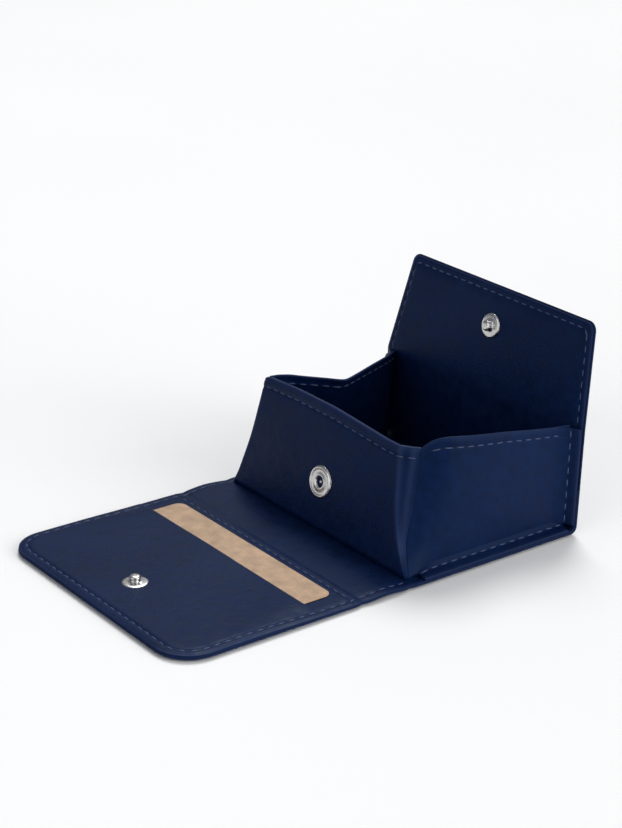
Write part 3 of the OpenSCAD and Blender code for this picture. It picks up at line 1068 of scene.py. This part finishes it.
def rounded(profile, rounds=2):
    """Profile with its corners cut smooth, ends kept."""
    profile = np.array(profile, float)
    for _ in range(rounds):
        a, b = profile[:-1], profile[1:]
        cut = np.stack([0.75 * a + 0.25 * b, 0.25 * a + 0.75 * b], 1).reshape(-1, 2)
        profile = np.concatenate([profile[:1], cut[1:-1], profile[-1:]])
    return profile


BORE_SHADE_TOP = 0.7           # a socket's bore is painted in shade below this height
# Profiles as radius and height
STUD = [(4.3, 0.0), (4.3, 0.5), (4.0, 0.86), (3.3, 0.95), (2.4, 1.0), (1.75, 1.15), (1.5, 1.45), (1.5, 1.8),
        (1.86, 2.15), (1.82, 2.65), (1.35, 3.02), (0.5, 3.1), (0.05, 3.06)]
SOCKET = [(5.5, 0.0), (5.5, 0.5), (5.2, 0.95), (4.7, 1.1), (4.25, 0.98), (3.6, 0.9), (2.9, 1.0), (2.2, 1.12),
          (1.85, 0.95), (1.6, 0.5), (1.5, 0.0), (1.5, -0.5), (1.0, -0.6), (0.8, -0.2), (0.6, 0.35),
          (0.4, 0.5), (0.05, 0.55)]


def build_snaps():
    lid_in = np.array([0, -math.cos(LID_LEAN), math.sin(LID_LEAN)])
    lid_up = np.array([0, math.sin(LID_LEAN), math.cos(LID_LEAN)])
    lid_stud_at = np.array([0, *LID_FOLD]) + lid_up * LID_STUD_UP
    cover_stud_at = np.array([0, COVER_END + COVER_STUD_IN, TOP_Z])
    wall_out = np.array([0, math.cos(BACK_LEAN), -math.sin(BACK_LEAN)])
    wall_up = np.array([0, math.sin(BACK_LEAN), math.cos(BACK_LEAN)])
    rear_at = np.array([0, *REAR_FOLD]) + wall_up * REAR_SNAP_UP + wall_out * STRIP_T
    front_at = FRONT_FOOT + UP * FRONT_SNAP_UP + OUT * (FRONT_T + 0.35)
    for name, shape, at, axis, body in (("cover_stud", STUD, cover_stud_at, (0, 0, 1), "cover"),
                                        ("lid_stud", STUD, lid_stud_at, lid_in, "lid"),
                                        ("front_socket", SOCKET, front_at, OUT, "front_wall"),
                                        ("rear_socket", SOCKET, rear_at, wall_out, "back_wall")):
        profile = rounded(shape)
        # Faces deep in a socket's bore get the near-black nickel as painted shade
        kinds = [int(shape is SOCKET and p[1] < BORE_SHADE_TOP and 0.65 < p[0] < 1.8) for p in profile[:-1]]
        made = lathe(f"{name}_metal", profile, at, axis, kinds, [NICKEL, SHADOW_NICKEL])
        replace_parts(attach(made, body), name)


def dress_carried_over():
    """Materials of the CAD pieces that stay as they are."""
    for name, material in (("base_board", BOARD), ("cover_stud_post", NICKEL), ("lid_stud_post", NICKEL),
                           ("front_socket_eyelet", NICKEL), ("rear_socket_eyelet", NICKEL)):
        mesh = frame["nodes"][name].data
        mesh.materials.clear()
        mesh.materials.append(material)


build_snaps()
dress_carried_over()


# ---------------------------------------------------------------- stage, light and camera

def build_stage():
    material, tree, shader, coords = new_material("studio_floor")
    cloud = scaled(tree, coords, 3.0, (-800, 0), Detail=2.0)
    tree.links.new(ramp(tree, cloud.outputs["Fac"], (0.88,) * 3, (0.90,) * 3, (-500, 0)),
                   shader.inputs["Base Color"])
    shader.inputs["Roughness"].default_value = 0.9
    shader.inputs["Specular IOR Level"].default_value = 0.1
    size, cells = 6.0, 12
    steps = np.linspace(-size, size, cells + 1)
    points = [(x, y, -0.00015) for y in steps for x in steps]
    index = np.arange((cells + 1) ** 2).reshape(cells + 1, cells + 1)
    mesh = bpy.data.meshes.new("floor")
    mesh.from_pydata(points, [], grid_faces(index))
    mesh.materials.append(material)
    floor = bpy.data.objects.new("floor", mesh)
    bpy.context.scene.collection.objects.link(floor)


BRIGHT_SIDE = (0.45, 0.60, 0.66)      # direction of the sky's bright half
SKY_STRENGTH = 0.56
# name, energy, angle across in degrees, direction that it comes from
SUNS = (("key", 1.75, 26, (-0.52, 0.50, 1.0)), ("side", 1.6, 40, (0.80, 0.30, 0.28)),
        ("fill", 0.9, 60, (0.10, -1.0, 0.30)))


def build_light():
    world = bpy.data.worlds.new("studio")
    bpy.context.scene.world = world
    world.use_nodes = True
    tree = world.node_tree
    background = tree.nodes["Background"]
    coords = node(tree, "ShaderNodeTexCoord", (-900, 0))
    towards = node(tree, "ShaderNodeVectorMath", (-700, 0), operation="DOT_PRODUCT")
    towards.inputs[1].default_value = Vector(BRIGHT_SIDE).normalized()
    tree.links.new(coords.outputs["Generated"], towards.inputs[0])
    sky = ramp(tree, towards.outputs["Value"], (0.30, 0.32, 0.36), (1.0, 1.0, 1.0), (-500, 0), (0.0, 0.8))
    tree.links.new(sky, background.inputs["Color"])
    background.inputs["Strength"].default_value = SKY_STRENGTH
    for name, energy, angle, direction in SUNS:
        sun = bpy.data.lights.new(name, "SUN")
        sun.energy, sun.angle = energy, math.radians(angle)
        lamp = bpy.data.objects.new(name, sun)
        lamp.rotation_euler = Vector(direction).to_track_quat("Z", "Y").to_euler()
        bpy.context.scene.collection.objects.link(lamp)


def build_camera():
    """Camera of the photograph: turned 53 degrees to the right of the front and 22 up."""
    azimuth, elevation, roll = (math.radians(a) for a in (53.06, 22.05, 0.54))
    right = np.array([math.cos(azimuth), math.sin(azimuth), 0])
    back = np.array([math.sin(azimuth) * math.cos(elevation), -math.cos(azimuth) * math.cos(elevation),
                     math.sin(elevation)])
    up = np.cross(back, right)
    c, s = math.cos(roll), math.sin(roll)
    right, up = c * right + s * up, -s * right + c * up
    centre_x, centre_y, distance = 1.07, -39.54, 696.38
    at = -centre_x * right - centre_y * up + distance * back + (0, CREASE_Y, 0)
    camera = bpy.data.cameras.new("camera")
    camera.sensor_width, camera.lens = 36.0, 93.48
    camera.clip_start, camera.clip_end = 0.01, 50
    camera.shift_x, camera.shift_y = 0.0015, -0.002
    obj = bpy.data.objects.new("camera", camera)
    turn = Matrix([list(v) for v in np.stack([right, up, back], 1)]).to_4x4()
    obj.matrix_world = Matrix.Translation(Vector(at * MM)) @ turn
    bpy.context.scene.collection.objects.link(obj)
    bpy.context.scene.camera = obj


build_stage()
build_light()
build_camera()
bpy.context.scene.view_settings.view_transform = "Standard"
